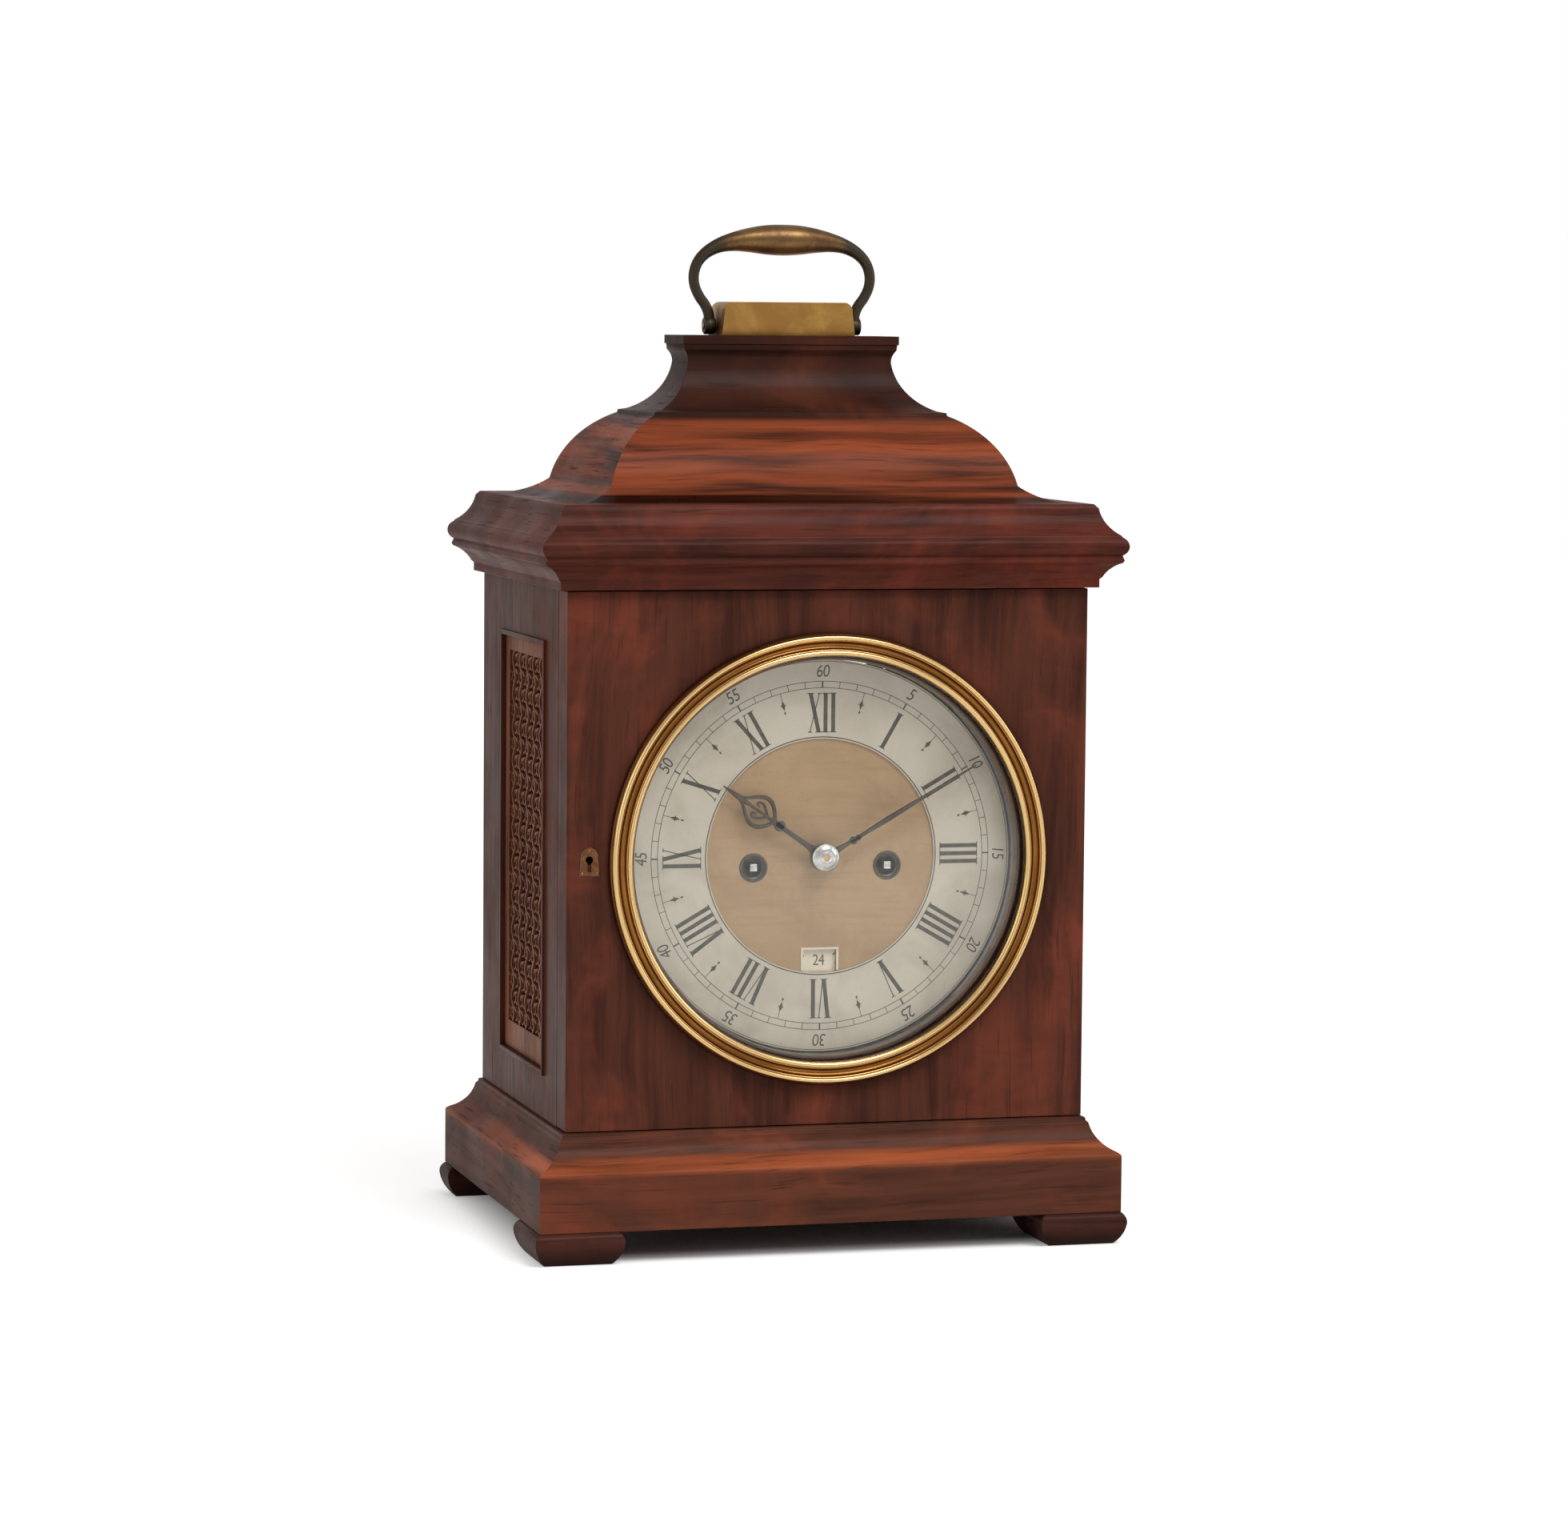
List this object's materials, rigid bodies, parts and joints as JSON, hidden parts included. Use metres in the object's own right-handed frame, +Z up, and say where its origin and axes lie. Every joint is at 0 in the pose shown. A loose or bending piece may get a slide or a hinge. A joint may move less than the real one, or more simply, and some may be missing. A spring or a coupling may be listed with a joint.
{
  "type": "bracket clock",
  "caption": "Bracket clock in a mahogany case with an inverted bell top, a brass bail handle, a round glazed dial and a fusee striking movement.",
  "frame": {"origin": "on the floor under the middle of the case", "axes": "+X to the right of the dial, +Y to the back, +Z up"},
  "size_m": [0.2844, 0.2154, 0.4759],
  "materials": {
    "mahogany_front": "French-polished figured mahogany",
    "mahogany_side": "French-polished mahogany with the sheen of old polish",
    "mahogany_moulding": "French-polished straight-grained mahogany",
    "mahogany_top": "French-polished crossbanded mahogany",
    "mahogany_inside": "plain planed mahogany inside the case",
    "silk": "faded silk stretched behind the frets",
    "fret_wood": "pierced mahogany fret",
    "bezel_brass": "polished cast brass with darkened hollows",
    "brass": "brushed clock brass",
    "handle_bronze": "dark patinated cast brass",
    "mount_brass": "worn lacquered brass",
    "silvered": "silvered brass with black wax filling",
    "matt_brass": "matted gilt brass",
    "blued_steel": "blued steel",
    "steel": "bright steel",
    "bell_metal": "turned bell metal",
    "gut": "twisted gut line",
    "glass": "clear glass"
  },
  "bodies": {
    "case": {"bracket_feet": "mahogany_moulding", "plinth_moulding": "mahogany_moulding", "bottom_board": "mahogany_inside", "left_side": "mahogany_side", "right_side": "mahogany_side", "side_frets": "fret_wood", "fret_silks": "silk", "case_rails": "mahogany_inside", "seat_board": "mahogany_inside", "cornice_moulding": "mahogany_moulding", "bell_top": "mahogany_top", "handle_mount": "mount_brass", "holding_bolts": "steel", "case_hinges": "brass", "dial_plate": "matt_brass", "chapter_ring": "silvered", "dial_feet": "brass", "front_plate": "brass", "back_plate": "brass", "plate_pillars": "brass", "back_cock": "brass", "bell_stand": "steel", "strike_bell": "bell_metal", "barrel_arbors": "steel", "mainsprings": "steel", "fusee_lines": "gut"},
    "front_door": {"front_door": "mahogany_front", "bezel": "bezel_brass", "front_glass": "glass", "door_lock": "brass", "key_escutcheon": "bezel_brass", "front_door_hinges": "brass"},
    "lock_bolt": {"lock_bolt": "steel"},
    "rear_door": {"rear_door": "mahogany_side", "rear_glass": "glass", "rear_door_hinges": "brass"},
    "turn_button": {"rear_turn_button": "brass"},
    "handle": {"carrying_handle": "handle_bronze"},
    "calendar": {"calendar_ring": "silvered"},
    "centre": {"centre_arbor": "brass", "cannon_pinion": "brass", "minute_hand": "blued_steel", "hand_collet": "steel"},
    "going_fusee": {"going_fusee": "brass"},
    "going_barrel": {"going_barrel": "brass"},
    "third": {"third_arbor": "brass"},
    "escape": {"escape_arbor": "brass"},
    "minute_work": {"minute_wheel": "brass"},
    "hour_work": {"hour_wheel": "brass", "hour_hand": "blued_steel"},
    "pallets": {"pallet_arbor": "steel"},
    "pendulum": {"pendulum": "steel", "pendulum_bob": "brass"},
    "strike_fusee": {"strike_fusee": "brass"},
    "strike_barrel": {"strike_barrel": "brass"},
    "pin_wheel": {"pin_wheel": "brass"},
    "gathering": {"gathering_wheel": "brass"},
    "warning": {"warning_wheel": "brass"},
    "fly": {"fly": "brass"},
    "hammer": {"hammer": "steel"}
  },
  "joints": [
    {"name": "front_door_swing", "type": "hinge", "parent": "case", "child": "front_door", "pos_m": [0.1272, -0.0717, 0.183], "axis": [0, 0, 1], "range_deg": [0, 120]},
    {"name": "lock_slide", "type": "slide", "parent": "front_door", "child": "lock_bolt", "axis": [0, 0, 1], "range_m": [0, 0.004]},
    {"name": "rear_door_swing", "type": "hinge", "parent": "case", "child": "rear_door", "pos_m": [0.1131, 0.0925, 0.183], "axis": [0, 0, -1], "range_deg": [0, 115]},
    {"name": "button_turn", "type": "hinge", "parent": "case", "child": "turn_button", "pos_m": [-0.119, 0.0915, 0.183], "axis": [0, -1, 0], "range_deg": [0, 90]},
    {"name": "handle_swing", "type": "hinge", "parent": "case", "child": "handle", "pos_m": [0, 0, 0.428], "axis": [1, 0, 0], "range_deg": [-90, 90]},
    {"name": "calendar_turn", "type": "hinge", "parent": "case", "child": "calendar", "pos_m": [0, 0, 0.183], "axis": [0, 1, 0], "continuous": true},
    {"name": "centre_turn", "type": "hinge", "parent": "case", "child": "centre", "pos_m": [0, 0, 0.183], "axis": [0, 1, 0], "continuous": true},
    {"name": "going_fusee_turn", "type": "hinge", "parent": "case", "child": "going_fusee", "pos_m": [0.0323, 0, 0.178], "axis": [0, 1, 0], "continuous": true},
    {"name": "going_barrel_turn", "type": "hinge", "parent": "case", "child": "going_barrel", "pos_m": [0.036, 0, 0.134], "axis": [0, 1, 0], "continuous": true},
    {"name": "third_turn", "type": "hinge", "parent": "case", "child": "third", "pos_m": [0.00925, 0, 0.20841], "axis": [0, 1, 0], "continuous": true},
    {"name": "escape_turn", "type": "hinge", "parent": "case", "child": "escape", "pos_m": [0, 0, 0.22793], "axis": [0, 1, 0], "continuous": true},
    {"name": "minute_work_turn", "type": "hinge", "parent": "case", "child": "minute_work", "pos_m": [0.01157, 0, 0.16921], "axis": [0, 1, 0], "continuous": true},
    {"name": "hour_work_turn", "type": "hinge", "parent": "case", "child": "hour_work", "pos_m": [0, 0, 0.183], "axis": [0, 1, 0], "continuous": true},
    {"name": "pendulum_swing", "type": "hinge", "parent": "case", "child": "pendulum", "pos_m": [0, 0, 0.25056], "axis": [0, 1, 0], "range_deg": [-3.5, 3.5]},
    {"name": "pallet_rock", "type": "hinge", "parent": "case", "child": "pallets", "pos_m": [0, 0, 0.25056], "axis": [0, 1, 0], "range_deg": [-3.5, 3.5]},
    {"name": "gathering_turn", "type": "hinge", "parent": "case", "child": "gathering", "pos_m": [-0.02349, 0, 0.21578], "axis": [0, 1, 0], "continuous": true},
    {"name": "strike_fusee_turn", "type": "hinge", "parent": "case", "child": "strike_fusee", "pos_m": [-0.0323, 0, 0.178], "axis": [0, 1, 0], "continuous": true},
    {"name": "strike_barrel_turn", "type": "hinge", "parent": "case", "child": "strike_barrel", "pos_m": [-0.036, 0, 0.134], "axis": [0, 1, 0], "continuous": true},
    {"name": "pin_wheel_turn", "type": "hinge", "parent": "case", "child": "pin_wheel", "pos_m": [-0.0359, 0, 0.20536], "axis": [0, 1, 0], "continuous": true},
    {"name": "warning_turn", "type": "hinge", "parent": "case", "child": "warning", "pos_m": [-0.02572, 0, 0.22838], "axis": [0, 1, 0], "continuous": true},
    {"name": "fly_turn", "type": "hinge", "parent": "case", "child": "fly", "pos_m": [-0.02208, 0, 0.23838], "axis": [0, 1, 0], "continuous": true},
    {"name": "hammer_swing", "type": "hinge", "parent": "case", "child": "hammer", "pos_m": [-0.0499, 0, 0.22096], "axis": [0, 1, 0], "range_deg": [-12, 0]}
  ],
  "couplings": [
    {"joint": "going_fusee_turn", "follows": "centre_turn", "ratio": -0.083333},
    {"joint": "going_barrel_turn", "follows": "centre_turn", "ratio": -0.056833},
    {"joint": "third_turn", "follows": "centre_turn", "ratio": -12},
    {"joint": "escape_turn", "follows": "centre_turn", "ratio": 150},
    {"joint": "minute_work_turn", "follows": "centre_turn", "ratio": -1},
    {"joint": "hour_work_turn", "follows": "centre_turn", "ratio": 0.083333},
    {"joint": "pallet_rock", "follows": "pendulum_swing", "ratio": 1},
    {"joint": "pin_wheel_turn", "follows": "gathering_turn", "ratio": -0.125},
    {"joint": "strike_fusee_turn", "follows": "gathering_turn", "ratio": 0.011905},
    {"joint": "strike_barrel_turn", "follows": "gathering_turn", "ratio": 0.008119},
    {"joint": "warning_turn", "follows": "gathering_turn", "ratio": -7},
    {"joint": "fly_turn", "follows": "gathering_turn", "ratio": 42}
  ]
}
